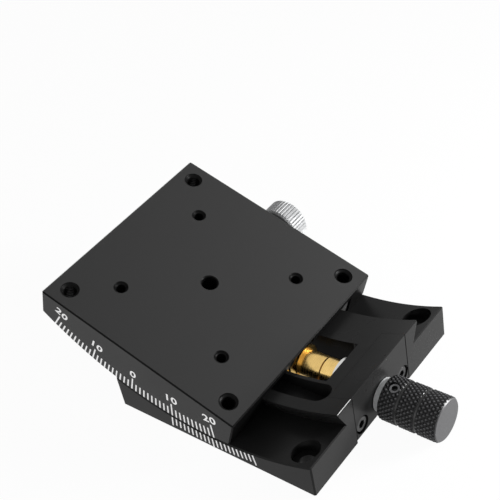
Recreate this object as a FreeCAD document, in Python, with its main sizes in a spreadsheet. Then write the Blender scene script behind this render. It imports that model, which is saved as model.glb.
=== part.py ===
import FreeCAD, Part
import math
import os
import re
import Sketcher
from FreeCAD import Vector

# Goniometer stage: a table that tilts on an arc dovetail about a point in mid air above it,
# driven by a worm under the table. X runs along the worm towards the knob, Z is up, and the
# origin is the centre of the base's underside. Lengths are in mm and angles in degrees.

doc = FreeCAD.newDocument("goniometer_stage")
sheet = doc.addObject("Spreadsheet::Sheet", "Sizes")

SIZES = {
    # Rotation centre, arcs and travel
    "centre_height": 79.0,
    "table_drop": 60.5,
    "table_arc_radius": 75.0,
    "rail_arc_radius": 70.0,
    "running_gap": 0.2,
    "ceiling_gap": 0.3,
    "shown_tilt": 19.4,
    "travel": 20.0,
    # Small fits, breaks and how far cutters reach past open faces
    "thread_gap": 0.02,
    "seat_gap": 0.05,
    "end_break": 0.3,
    "tip_break": 0.4,
    "pin_sink": 0.1,
    "overcut": 1.0,
    "cut_spare": 0.1,
    "cutter_angle": 70.0,
    "cutter_height": 12.0,
    "cutter_depth": 9.0,
    # Base and rail
    "base_length": 60.0,
    "base_width": 60.0,
    "rail_width": 35.0,
    "rail_neck_width": 30.4,
    "rail_lip": 0.8,
    "edge_chamfer": 0.35,
    "window_length": 38.4,
    "window_width": 14.0,
    "window_corner_radius": 1.5,
    "stop_groove_offset": 11.0,
    "stop_groove_width": 6.0,
    "stop_groove_end": 23.0,
    "stop_groove_floor": 6.5,
    "base_hole_spacing": 50.0,
    "base_hole_diameter": 4.5,
    "counterbore_diameter": 7.5,
    "counterbore_floor": 4.0,
    # Bearing block let into the base's end
    "block_length": 6.8,
    "block_width": 24.0,
    "block_lift": 1.0,
    "block_fit": 0.05,
    "block_chamfer": 0.25,
    "block_screw_spacing": 18.4,
    "block_screw_height": 4.2,
    "block_screw_diameter": 2.5,
    "block_screw_length": 10.0,
    "block_screw_play": 0.3,
    "cap_head_diameter": 4.5,
    "cap_head_height": 2.5,
    "cap_socket_flats": 2.0,
    "cap_socket_depth": 1.3,
    "cap_sink": 0.3,
    "cap_head_play": 0.5,
    # Table
    "table_length": 60.0,
    "table_width": 60.0,
    "flank_gap": 0.15,
    "outer_hole_spacing": 50.0,
    "outer_hole_diameter": 3.3,
    "outer_hole_mouth": 4.8,
    "outer_hole_relief": 4.2,
    "outer_thread_drop": 69.4,
    "inner_hole_spacing": 32.0,
    "inner_hole_diameter": 2.5,
    "inner_hole_mouth": 3.75,
    "inner_hole_depth": 6.0,
    "centre_hole_diameter": 4.2,
    "centre_hole_mouth": 4.7,
    "centre_hole_depth": 5.0,
    # Gib, the loose jaw of the dovetail, and its set screws
    "gib_thickness": 3.7,
    "gib_offset": 0.65,
    "gib_top_drop": 62.6,
    "gib_length": 59.0,
    "gib_fit": 0.1,
    "gib_screw_spacing": 36.0,
    "gib_screw_drop": 67.0,
    "gib_screw_diameter": 3.0,
    "gib_screw_length": 6.0,
    "gib_screw_flats": 1.5,
    "gib_nose_gap": 0.1,
    "gib_nose_root": 0.5,
    # Worm wheel sector
    "wheel_radius": 68.6,
    "wheel_teeth": 180,
    "addendum": 0.5,
    "dedendum": 0.625,
    "sector_gaps": 23,
    "sector_width": 12.0,
    "sector_seat_radius": 67.2,
    "sector_half_angle": 21.5,
    "seat_spare_angle": 0.1,
    "pressure_angle": 20.0,
    "flank_clearance": 0.08,
    "sector_screw_diameter": 2.0,
    "sector_screw_head": 3.6,
    "sector_screw_sink": 0.5,
    "sector_screw_length": 5.0,
    "sector_screw_angle": 13.0,
    "sector_screw_offset": 4.3,
    "tap_spare": 0.2,
    # Worm shaft line
    "worm_height": 6.0,
    "shaft_diameter": 5.0,
    "shaft_nose_diameter": 4.0,
    "journal_clearance": 0.025,
    "shaft_play": 0.6,
    "shaft_sink": 0.4,
    "bush_diameter": 7.0,
    "bush_sink": 0.1,
    "rear_bush_length": 7.5,
    "end_play": 0.05,
    "thread_rear_end": 5.5,
    "thread_front_end": 7.9,
    "worm_gap": 0.15,
    "relief_width": 8.4,
    "relief_spare_angle": 0.4,
    "end_relief_step": 0.2,
    "front_hub_diameter": 7.5,
    "front_hub_end": 13.7,
    "rear_hub_diameter": 6.5,
    "collar_start": 14.2,
    "collar_diameter": 7.8,
    "washer_diameter": 10.5,
    "washer_length": 1.0,
    "washer_fit": 0.05,
    "worm_pin_diameter": 1.5,
    "worm_pin_place": -11.5,
    "collar_screw_diameter": 2.0,
    "collar_screw_flats": 0.9,
    # Knob, its places measured from the base's end
    "knob_collar_diameter": 8.8,
    "knob_collar_gap": 0.15,
    "knob_start": 1.9,
    "knob_end": 17.6,
    "knob_diameter": 11.6,
    "knob_groove_depth": 0.35,
    "knob_groove_width": 0.5,
    "knob_first_groove": 6.7,
    "knob_second_groove": 11.8,
    "knob_chamfer": 0.6,
    "knob_bore_depth": 13.0,
    "knob_screw_place": 4.4,
    "knob_screw_angle": 9.5,
    "knob_screw_diameter": 2.5,
    "knob_screw_length": 3.0,
    "knob_screw_flats": 1.3,
    # Stop pin
    "stop_pin_diameter": 2.0,
    "stop_pin_reach": 71.5,
    "stop_pin_root_drop": 64.5,
    "stop_clearance": 0.15,
    # Lock screw and its pad, the head's places measured from the table's back face
    "lock_drop": 67.7,
    "lock_screw_diameter": 4.0,
    "lock_clearance": 0.05,
    "lock_pad_length": 1.8,
    "lock_pad_gap": 0.4,
    "lock_head_diameter": 12.2,
    "lock_head_start": 1.0,
    "lock_head_end": 7.5,
    "lock_head_chamfer": 0.6,
    "lock_neck_diameter": 8.0,
    "lock_neck_length": 0.7,
    "lock_flutes": 28,
    "lock_flute_depth": 0.45,
    "lock_flute_spare": 0.2,
    "lock_flute_share": 0.9,
}

# Lengths that follow from the sizes above
DERIVED = {
    "knob_foot": "(base_length / 2 + knob_start)",
    "knob_tip": "(base_length / 2 + knob_end)",
    "groove_near": "(base_length / 2 + knob_first_groove)",
    "groove_far": "(base_length / 2 + knob_second_groove)",
    "knob_screw_along": "(base_length / 2 + knob_screw_place)",
    "lock_head_foot": "(table_width / 2 + lock_head_start)",
    "lock_head_tip": "(table_width / 2 + lock_head_end)",
    "land_radius": "(table_arc_radius + running_gap)",
    "ceiling_radius": "(rail_arc_radius - ceiling_gap)",
    "lip_radius": "(rail_arc_radius + rail_lip)",
    "flank_slope": "((rail_width - rail_neck_width) / 2 / (land_radius - lip_radius))",
    "rail_end_height": "(centre_height - sqrt(rail_arc_radius ^ 2 - base_length ^ 2 / 4))",
    "table_top": "(centre_height - table_drop)",
    "above_rail": "(rail_arc_radius - cutter_height)",
    "beyond": "(table_arc_radius + cutter_depth)",
    "blank_foot": "(centre_height - table_arc_radius - overcut)",
    "block_start": "(base_length / 2 - block_length)",
    "gib_inner": "(rail_width / 2 + flank_gap + gib_offset)",
    "gib_outer": "(gib_inner + gib_thickness)",
    "gib_foot_radius": "(table_arc_radius - running_gap)",
    "worm_radius": "(centre_height - worm_height - wheel_radius)",
    "thread_tip": "(worm_radius + addendum)",
    "thread_root": "(worm_radius - dedendum)",
    "sector_tip": "(wheel_radius + addendum)",
    "relief_radius": "(centre_height - worm_height - thread_tip - worm_gap)",
    "relief_half_angle": "(travel + asin(thread_rear_end / relief_radius) / 1deg + relief_spare_angle)",
    "end_relief_radius": "(relief_radius + end_relief_step)",
    "axial_pitch": "(2 * pi * wheel_radius / wheel_teeth)",
    "tooth_angle": "(360 / wheel_teeth)",
    "lead_angle": "(atan(axial_pitch / (2 * pi * worm_radius)) / 1deg)",
    "meshing_gap": "(round(shown_tilt / tooth_angle))",
    "mesh_offset": "(wheel_radius * sin(meshing_gap * tooth_angle - shown_tilt))",
    "half_gap": "(axial_pitch / 4 + flank_clearance)",
    "gap_foot": "(half_gap - dedendum * tan(pressure_angle))",
    "gap_mouth": "(half_gap + (addendum + cut_spare) * tan(pressure_angle))",
    "thread_lead_in": "(axial_pitch * (ceil(thread_rear_end / axial_pitch) + 0.5))",
    "washer_front": "(window_length / 2 - end_play - washer_length)",
    "sector_tap_end": "(sector_tip - sector_screw_sink - sector_screw_length - tap_spare)",
    "stop_pin_angle": "(asin((stop_groove_end - stop_pin_diameter / 2 - stop_clearance) / stop_pin_reach)"
                      " / 1deg - travel)",
    "stop_groove_start": "(stop_pin_reach * sin(stop_pin_angle - travel) - stop_pin_diameter / 2"
                         " - stop_clearance)",
    "lock_tip": "(gib_outer + lock_pad_gap + lock_pad_length)",
    "lock_height": "(centre_height - lock_drop)",
}


def expand(text):
    """The expression with every size and derived length written out as cells of the sheet."""
    def cell(match):
        word = match.group(0)
        if word in SIZES:
            return f"Sizes.{word}"
        return expand(DERIVED[word]) if word in DERIVED else word
    return re.sub(r"[a-z]+(?:_[a-z]+)*", cell, str(text))


def number(text):
    """What an expression of the sheet comes to, as a plain number."""
    result = sheet.evalExpression(expand(text))
    return float(getattr(result, "Value", result))


def bind(thing, **properties):
    """Tie properties of a document object to expressions of the sheet."""
    for name, text in properties.items():
        thing.setExpression(name.replace("__", "."), expand(text))


def fill_sheet():
    for row, (name, size) in enumerate(SIZES.items(), start=1):
        sheet.set(f"A{row}", name)
        sheet.set(f"B{row}", str(size))
        sheet.setAlias(f"B{row}", name)
    doc.recompute()


def new_body(label):
    body = doc.addObject("PartDesign::Body", label)
    body.Label = label
    return body


def origin_plane(body, role):
    return next(plane for plane in body.Origin.OriginFeatures if plane.Role == role)


def new_sketch(body, plane, origin=("0", "0", "0"), turn=None):
    """A sketch on an origin plane, its own origin moved and turned (yaw, pitch, roll) within it."""
    sketch = body.newObject("Sketcher::SketchObject", "Sketch")
    sketch.AttachmentSupport = [(origin_plane(body, plane), "")]
    sketch.MapMode = "FlatFace"
    spot = "; ".join(expand(part) for part in origin)
    angles = "; ".join(expand(part) for part in turn or ("0", "0", "0"))
    sketch.setExpression(
        "AttachmentOffset",
        f"create(<<placement>>; create(<<vector>>; {spot}); create(<<rotation>>; {angles}))")
    return sketch


def hold(sketch, edge, end, across, up):
    """Fix one end of a sketch edge at expressions for its two coordinates."""
    for kind, axis, text in (("DistanceX", -2, across), ("DistanceY", -1, up)):
        if abs(number(text)) < 1e-7:
            sketch.addConstraint(Sketcher.Constraint("PointOnObject", edge, end, axis))
        else:
            index = sketch.addConstraint(
                Sketcher.Constraint(kind, -1, 1, edge, end, number(text)))
            sketch.setExpression(f"Constraints[{index}]", expand(text))


def outline(body, plane, corners, origin=("0", "0", "0"), turn=None):
    """A closed outline of straight edges, each corner given as two expressions."""
    sketch = new_sketch(body, plane, origin, turn)
    points = [Vector(number(across), number(up), 0) for across, up in corners]
    count = len(points)
    for index in range(count):
        sketch.addGeometry(Part.LineSegment(points[index], points[(index + 1) % count]), False)
    for index in range(count):
        sketch.addConstraint(
            Sketcher.Constraint("Coincident", index, 2, (index + 1) % count, 1))
    for index, (across, up) in enumerate(corners):
        hold(sketch, index, 1, across, up)
    return sketch


def rectangle(body, plane, low, high, origin=("0", "0", "0"), turn=None):
    (left, bottom), (right, top) = low, high
    corners = [(left, bottom), (right, bottom), (right, top), (left, top)]
    return outline(body, plane, corners, origin, turn)


def circles(body, plane, spots, diameter, origin=("0", "0", "0")):
    """Equal circles at centres given as two expressions each."""
    sketch = new_sketch(body, plane, origin)
    for index, (across, up) in enumerate(spots):
        centre = Vector(number(across), number(up), 0)
        sketch.addGeometry(Part.Circle(centre, Vector(0, 0, 1), number(diameter) / 2), False)
        hold(sketch, index, 3, across, up)
        size = sketch.addConstraint(Sketcher.Constraint("Diameter", index, number(diameter)))
        sketch.setExpression(f"Constraints[{size}]", expand(diameter))
    return sketch


def square_spots(spacing):
    """The four corners of a square pattern, as expressions."""
    half = f"{spacing} / 2"
    return [(f"{x}{half}", f"{y}{half}") for x in ("", "-") for y in ("", "-")]


volumes = {}


def checked(body, feature, grows):
    """Recompute and make sure that a feature added or removed material, as it should."""
    before = volumes.get(body.Name, 0)
    doc.recompute()
    volumes[body.Name] = body.Shape.Volume
    if before and (volumes[body.Name] > before) != grows:
        raise RuntimeError(f"{feature.Name} in {body.Label} changed the volume the wrong way")
    return feature


def pad(body, sketch, length, **settings):
    feature = body.newObject("PartDesign::Pad", "Pad")
    feature.Profile = sketch
    bind(feature, Length=length)
    for name, setting in settings.items():
        setattr(feature, name, setting)
    return checked(body, feature, True)


def pocket(body, sketch, length=None, **settings):
    feature = body.newObject("PartDesign::Pocket", "Pocket")
    feature.Profile = sketch
    if length is None:
        feature.Type = "ThroughAll"
    else:
        bind(feature, Length=length)
    for name, setting in settings.items():
        setattr(feature, name, setting)
    return checked(body, feature, False)


def revolve(body, sketch, axis, angle="360"):
    feature = body.newObject("PartDesign::Revolution", "Revolution")
    feature.Profile = sketch
    feature.ReferenceAxis = (sketch, [axis])
    feature.Midplane = True
    bind(feature, Angle=angle)
    return checked(body, feature, True)


def groove(body, sketch, axis, angle="360"):
    feature = body.newObject("PartDesign::Groove", "Groove")
    feature.Profile = sketch
    feature.ReferenceAxis = (sketch, [axis])
    feature.Midplane = True
    bind(feature, Angle=angle)
    return checked(body, feature, False)


def dress(body, kind, size, chosen):
    """Chamfer or Fillet the edges of the body so far whose sampled points pass the test."""
    below = body.Tip
    names = []
    for index, edge in enumerate(below.Shape.Edges, start=1):
        low, high = edge.ParameterRange
        samples = [edge.valueAt(low + (high - low) * part / 4) for part in range(5)]
        if chosen(samples):
            names.append(f"Edge{index}")
    feature = body.newObject(f"PartDesign::{kind}", kind)
    feature.Base = (below, names)
    bind(feature, **{"Size" if kind == "Chamfer" else "Radius": size})
    return checked(body, feature, kind == "Fillet")


def all_near(points, measure, target):
    return all(abs(measure(point) - target) < 1e-4 for point in points)


def level_edge(points):
    """A straight edge at one height, or an arc whose two ends are at one height."""
    return abs(points[0].z - points[-1].z) < 1e-4


def place(thing, turn_axis, angle, about=("0", "0", "0"), move=("0", "0", "0")):
    """Bind an object's Placement: turned about an axis through a point, then moved."""
    spot = "; ".join(expand(part) for part in move)
    pivot = "; ".join(expand(part) for part in about)
    axis = "; ".join(str(part) for part in turn_axis)
    thing.setExpression(
        "Placement",
        f"create(<<placement>>; create(<<vector>>; {spot}); create(<<rotation>>; "
        f"create(<<vector>>; {axis}); {expand(angle)}); create(<<vector>>; {pivot}))")


def tilt_with_table(thing):
    """Turn a piece that was modelled with the table level into the shown pose."""
    place(thing, (0, 1, 0), "shown_tilt", about=("0", "0", "centre_height"))


def group(label, members):
    compound = doc.addObject("Part::Compound", label)
    compound.Label = label
    compound.Links = members
    return compound


def on_arc(body, corners, kind, angle):
    """Revolve a cross-section about the tilt axis: corners are (Y, distance below the centre)."""
    drawn = [(across, f"-({drop})") for across, drop in corners]
    sketch = outline(body, "YZ_Plane", drawn, ("0", "centre_height", "0"))
    return kind(body, sketch, "H_Axis", angle)


def turned(body, stations, origin_height="worm_height"):
    """Revolve a stepped shaft: stations are (X, radius) corners of the upper half."""
    corners = [(stations[0][0], "0")] + stations + [(stations[-1][0], "0")]
    sketch = outline(body, "XZ_Plane", corners, ("0", origin_height, "0"))
    return revolve(body, sketch, "H_Axis")


def ring(body, start, end, outer, inner):
    """A plain ring on the worm's axis, its outer and inner sizes given as diameters."""
    inside, outside = f"({inner}) / 2", f"({outer}) / 2"
    corners = [(start, inside), (start, outside), (end, outside), (end, inside)]
    sketch = outline(body, "XZ_Plane", corners, ("0", "worm_height", "0"))
    return revolve(body, sketch, "H_Axis")


def cross_hole(body, diameter, length, place_along, angle, start="0"):
    """A hole square to the worm's axis, its direction an angle from straight up towards the front."""
    hole = body.newObject("PartDesign::SubtractiveCylinder", "CrossHole")
    bind(hole, Radius=f"({diameter}) / 2", Height=length)
    place(hole, (1, 0, 0), angle, move=(place_along, f"-({start}) * sin({angle})",
                                        f"worm_height + ({start}) * cos({angle})"))
    return checked(body, hole, False)


def grub_screw(label, diameter, length, flats):
    """A set screw along its own Z, tip at its origin, with a hexagon socket in the far end."""
    body = new_body(label)
    rod = body.newObject("PartDesign::AdditiveCylinder", "Rod")
    bind(rod, Radius=f"({diameter}) / 2", Height=length)
    checked(body, rod, True)
    socket = body.newObject("PartDesign::SubtractivePrism", "Socket")
    socket.Polygon = 6
    bind(socket, Circumradius=f"{flats} / sqrt(3)", Height=length)
    place(socket, (0, 0, 1), "0", move=("0", "0", f"({length}) / 2"))
    checked(body, socket, False)
    return body


def make_base():
    body = new_body("base")
    block = rectangle(body, "XY_Plane", ("-base_length / 2", "-base_width / 2"),
                      ("base_length / 2", "base_width / 2"))
    pad(body, block, "rail_end_height")
    # Everything that the table sweeps is cut away, which leaves the lands and the dovetail rail
    side, top = "base_width / 2 + overcut", "above_rail"
    half = [("rail_width / 2", "rail_arc_radius"), ("rail_width / 2", "lip_radius"),
            ("rail_neck_width / 2", "land_radius"), (side, "land_radius"), (side, top)]
    other = [(f"-({across})", drop) for across, drop in reversed(half)]
    on_arc(body, half + other, groove, "cutter_angle")
    half_length, half_width = number("base_length / 2"), number("base_width / 2")

    def outer(points):
        on_end = all_near(points, lambda point: abs(point.x), half_length)
        on_side = all_near(points, lambda point: abs(point.y), half_width)
        return (on_end and on_side) or ((on_end or on_side) and level_edge(points))

    dress(body, "Chamfer", "edge_chamfer", outer)
    notch = rectangle(body, "XY_Plane", ("block_start", "-block_width / 2"),
                      ("base_length / 2 + overcut", "block_width / 2"))
    pocket(body, notch, Midplane=True)
    window = rectangle(body, "XY_Plane", ("-window_length / 2", "-window_width / 2"),
                       ("window_length / 2", "window_width / 2"))
    pocket(body, window, Midplane=True)
    window_end, window_side = number("window_length / 2"), number("window_width / 2")
    dress(body, "Fillet", "window_corner_radius",
          lambda points: all_near(points, lambda point: abs(point.x), window_end)
          and all_near(points, lambda point: abs(point.y), window_side))
    # Groove for the stop pin, with a flat floor and round ends
    floor = new_sketch(body, "XY_Plane", ("0", "0", "stop_groove_floor"))
    radius = number("stop_groove_width / 2")
    row = -number("stop_groove_offset")
    first = Vector(number("stop_groove_start") + radius, row, 0)
    last = Vector(number("stop_groove_end") - radius, row, 0)
    up, quarter = Vector(0, radius, 0), math.pi / 2
    floor.addGeometry(Part.LineSegment(first + up, last + up), False)
    floor.addGeometry(Part.ArcOfCircle(
        Part.Circle(last, Vector(0, 0, 1), radius), -quarter, quarter), False)
    floor.addGeometry(Part.LineSegment(last - up, first - up), False)
    floor.addGeometry(Part.ArcOfCircle(
        Part.Circle(first, Vector(0, 0, 1), radius), quarter, 3 * quarter), False)
    for one, one_end, two, two_end in ((0, 2, 1, 2), (1, 1, 2, 1), (2, 2, 3, 2), (3, 1, 0, 1)):
        floor.addConstraint(Sketcher.Constraint("Tangent", one, one_end, two, two_end))
    hold(floor, 1, 3, "stop_groove_end - stop_groove_width / 2", "-stop_groove_offset")
    hold(floor, 3, 3, "stop_groove_start + stop_groove_width / 2", "-stop_groove_offset")
    size = floor.addConstraint(Sketcher.Constraint("Radius", 1, radius))
    floor.setExpression(f"Constraints[{size}]", expand("stop_groove_width / 2"))
    pocket(body, floor, Reversed=True)
    # Mounting holes with counterbores
    spots = square_spots("base_hole_spacing")
    pocket(body, circles(body, "XY_Plane", spots, "base_hole_diameter"), Midplane=True)
    seats = circles(body, "XY_Plane", spots, "counterbore_diameter", ("0", "0", "counterbore_floor"))
    pocket(body, seats, Reversed=True)
    # Rear bush seat, shaft passage through the wall and the tapped holes for the block
    axis = [("0", "worm_height")]
    rear = circles(body, "YZ_Plane", axis, "bush_diameter", ("0", "0", "-window_length / 2 + overcut"))
    pocket(body, rear, "rear_bush_length + overcut + end_break")
    front = circles(body, "YZ_Plane", axis, "shaft_diameter + shaft_play")
    pocket(body, front, Reversed=True)
    spots = [("block_screw_spacing / 2", "block_screw_height"),
             ("-block_screw_spacing / 2", "block_screw_height")]
    taps = circles(body, "YZ_Plane", spots, "block_screw_diameter", ("0", "0", "block_start"))
    pocket(body, taps, "block_screw_length + cap_head_height + cap_sink - block_length + overcut")
    return body


def make_bearing_block():
    body = new_body("bearing_block")
    low = ("block_start + block_fit", "-block_width / 2 + block_fit")
    blank = rectangle(body, "XY_Plane", low, ("base_length / 2", "block_width / 2 - block_fit"),
                      ("0", "0", "block_lift"))
    pad(body, blank, "rail_end_height - block_lift")
    side = "block_width / 2 + overcut"
    above = [(side, "rail_arc_radius"), (f"-({side})", "rail_arc_radius"),
             (f"-({side})", "above_rail"), (side, "above_rail")]
    on_arc(body, above, groove, "cutter_angle")
    end = number("base_length / 2")
    dress(body, "Chamfer", "block_chamfer",
          lambda points: all_near(points, lambda point: point.x, end))
    bore = circles(body, "YZ_Plane", [("0", "worm_height")], "bush_diameter")
    pocket(body, bore, Reversed=True)
    spots = [("block_screw_spacing / 2", "block_screw_height"),
             ("-block_screw_spacing / 2", "block_screw_height")]
    pocket(body, circles(body, "YZ_Plane", spots, "block_screw_diameter + block_screw_play"), Reversed=True)
    heads = circles(body, "YZ_Plane", spots, "cap_head_diameter + cap_head_play",
                    ("0", "0", "base_length / 2 - cap_head_height - cap_sink"))
    pocket(body, heads, Reversed=True)
    return body


def make_block_screws():
    screws = []
    for name, side in (("left", ""), ("right", "-")):
        body = new_body(f"block_screw_{name}")
        seat = "base_length / 2 - cap_sink - cap_head_height"
        shank, head = "block_screw_diameter / 2 - thread_gap", "cap_head_diameter / 2"
        stations = [(f"{seat} - block_screw_length", f"{shank} - tip_break"),
                    (f"{seat} - block_screw_length + tip_break", shank), (seat, shank), (seat, head),
                    (f"{seat} + cap_head_height - end_break", head),
                    (f"{seat} + cap_head_height", f"{head} - end_break")]
        turned(body, stations, "block_screw_height")
        socket = body.newObject("PartDesign::SubtractivePrism", "Socket")
        socket.Polygon = 6
        bind(socket, Circumradius="cap_socket_flats / sqrt(3)", Height="cap_socket_depth + overcut")
        place(socket, (0, 1, 0), "90",
              move=(f"{seat} + cap_head_height - cap_socket_depth", "0", "block_screw_height"))
        checked(body, socket, False)
        place(body, (0, 0, 1), "0", move=("0", f"{side}block_screw_spacing / 2", "0"))
        screws.append(body)
    return group("bearing_block_screws", screws)


def make_bushes():
    front = new_body("front_bush")
    ring(front, "block_start + block_fit", "base_length / 2 - bush_sink", "bush_diameter",
         "shaft_diameter + 2 * journal_clearance")
    rear = new_body("rear_bush")
    ring(rear, "-window_length / 2 - rear_bush_length", "-window_length / 2", "bush_diameter",
         "shaft_diameter + 2 * journal_clearance")
    return [front, rear]


def make_worm():
    """The brass worm: a right-hand thread with a plain hub at each end."""
    body = new_body("worm")
    stations = [("-washer_front", "rear_hub_diameter / 2"),
                ("-thread_rear_end", "rear_hub_diameter / 2"), ("-thread_rear_end", "thread_tip"),
                ("thread_front_end", "thread_tip"), ("thread_front_end", "front_hub_diameter / 2"),
                ("front_hub_end", "front_hub_diameter / 2")]
    turned(body, stations)
    # Thread groove: it runs out at both ends, and its phase meets the shown tilt
    start, tip = "(mesh_offset - thread_lead_in)", "thread_tip + cut_spare"
    corners = [(f"{start} - gap_mouth", tip), (f"{start} - gap_foot", "thread_root"),
               (f"{start} + gap_foot", "thread_root"), (f"{start} + gap_mouth", tip)]
    sketch = outline(body, "XZ_Plane", corners, ("0", "worm_height", "0"))
    helix = body.newObject("PartDesign::SubtractiveHelix", "ThreadGroove")
    helix.Profile = sketch
    helix.ReferenceAxis = (sketch, ["H_Axis"])
    helix.Mode = 0
    bind(helix, Pitch="axial_pitch",
         Height=f"thread_front_end + axial_pitch / 2 - {start}")
    checked(body, helix, False)
    bore = circles(body, "YZ_Plane", [("0", "worm_height")], "shaft_diameter")
    pocket(body, bore, Midplane=True)
    cross_hole(body, "worm_pin_diameter", "rear_hub_diameter + 2 * overcut", "worm_pin_place", "0",
               "-(rear_hub_diameter / 2 + overcut)")
    return body


def make_shaft():
    body = new_body("worm_shaft")
    rear = "-window_length / 2 - rear_bush_length + shaft_sink"
    step = "base_length / 2 + knob_collar_gap"
    nose = "knob_foot + knob_bore_depth - end_break"
    stations = [(rear, "shaft_diameter / 2 - end_break"),
                (f"{rear} + end_break", "shaft_diameter / 2"),
                (step, "shaft_diameter / 2"), (step, "shaft_nose_diameter / 2"),
                (f"{nose} - end_break", "shaft_nose_diameter / 2"),
                (nose, "shaft_nose_diameter / 2 - end_break")]
    turned(body, stations)
    cross_hole(body, "worm_pin_diameter", "shaft_diameter + 2 * overcut", "worm_pin_place", "0",
               "-(shaft_diameter / 2 + overcut)")
    return body


def make_shaft_fittings():
    pin = new_body("worm_pin")
    rod = pin.newObject("PartDesign::AdditiveCylinder", "Rod")
    bind(rod, Radius="worm_pin_diameter / 2", Height="rear_hub_diameter - 2 * pin_sink")
    checked(pin, rod, True)
    place(pin, (0, 0, 1), "0",
          move=("worm_pin_place", "0", "worm_height - rear_hub_diameter / 2 + pin_sink"))
    collar = new_body("play_collar")
    ring(collar, "collar_start", "washer_front", "collar_diameter", "shaft_diameter")
    middle = "(collar_start + washer_front) / 2"
    cross_hole(collar, "collar_screw_diameter", "collar_diameter", middle, "180")
    grub = grub_screw("play_collar_screw", "collar_screw_diameter",
                      "(collar_diameter - shaft_diameter) / 2 - pin_sink", "collar_screw_flats")
    place(grub, (1, 0, 0), "180", move=(middle, "0", "worm_height - shaft_diameter / 2"))
    front = new_body("front_thrust_washer")
    ring(front, "washer_front", "washer_front + washer_length", "washer_diameter",
         "shaft_diameter + washer_fit")
    rear = new_body("rear_thrust_washer")
    ring(rear, "-washer_front - washer_length", "-washer_front", "washer_diameter",
         "shaft_diameter + washer_fit")
    return [pin, collar, grub, front, rear]


def make_knob():
    """Knob in three bands parted by two grooves, its smooth collar and its set screw."""
    collar = new_body("knob_collar")
    ring(collar, "base_length / 2 + knob_collar_gap", "knob_foot", "knob_collar_diameter",
         "shaft_nose_diameter")
    knob = new_body("knob")
    rim, waist = "knob_diameter / 2", "knob_diameter / 2 - knob_groove_depth"
    stations = [("knob_foot", f"{rim} - knob_chamfer / 2"),
                ("knob_foot + knob_chamfer / 2", rim)]
    for groove_place in ("groove_near", "groove_far"):
        near, far = f"{groove_place} - knob_groove_width / 2", f"{groove_place} + knob_groove_width / 2"
        stations += [(near, rim), (near, waist), (far, waist), (far, rim)]
    stations += [("knob_tip - knob_chamfer", rim), ("knob_tip", f"{rim} - knob_chamfer")]
    turned(knob, stations)
    bore = circles(knob, "YZ_Plane", [("0", "worm_height")], "shaft_nose_diameter",
                   ("0", "0", "knob_foot + knob_bore_depth"))
    pocket(knob, bore, "knob_bore_depth + overcut")
    cross_hole(knob, "knob_screw_diameter", "knob_diameter", "knob_screw_along", "knob_screw_angle")
    grub = grub_screw("knob_set_screw", "knob_screw_diameter", "knob_screw_length", "knob_screw_flats")
    foot = "(shaft_nose_diameter / 2 + seat_gap)"
    place(grub, (1, 0, 0), "knob_screw_angle",
          move=("knob_screw_along", f"-{foot} * sin(knob_screw_angle)",
                f"worm_height + {foot} * cos(knob_screw_angle)"))
    return [collar, knob, grub]


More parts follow.
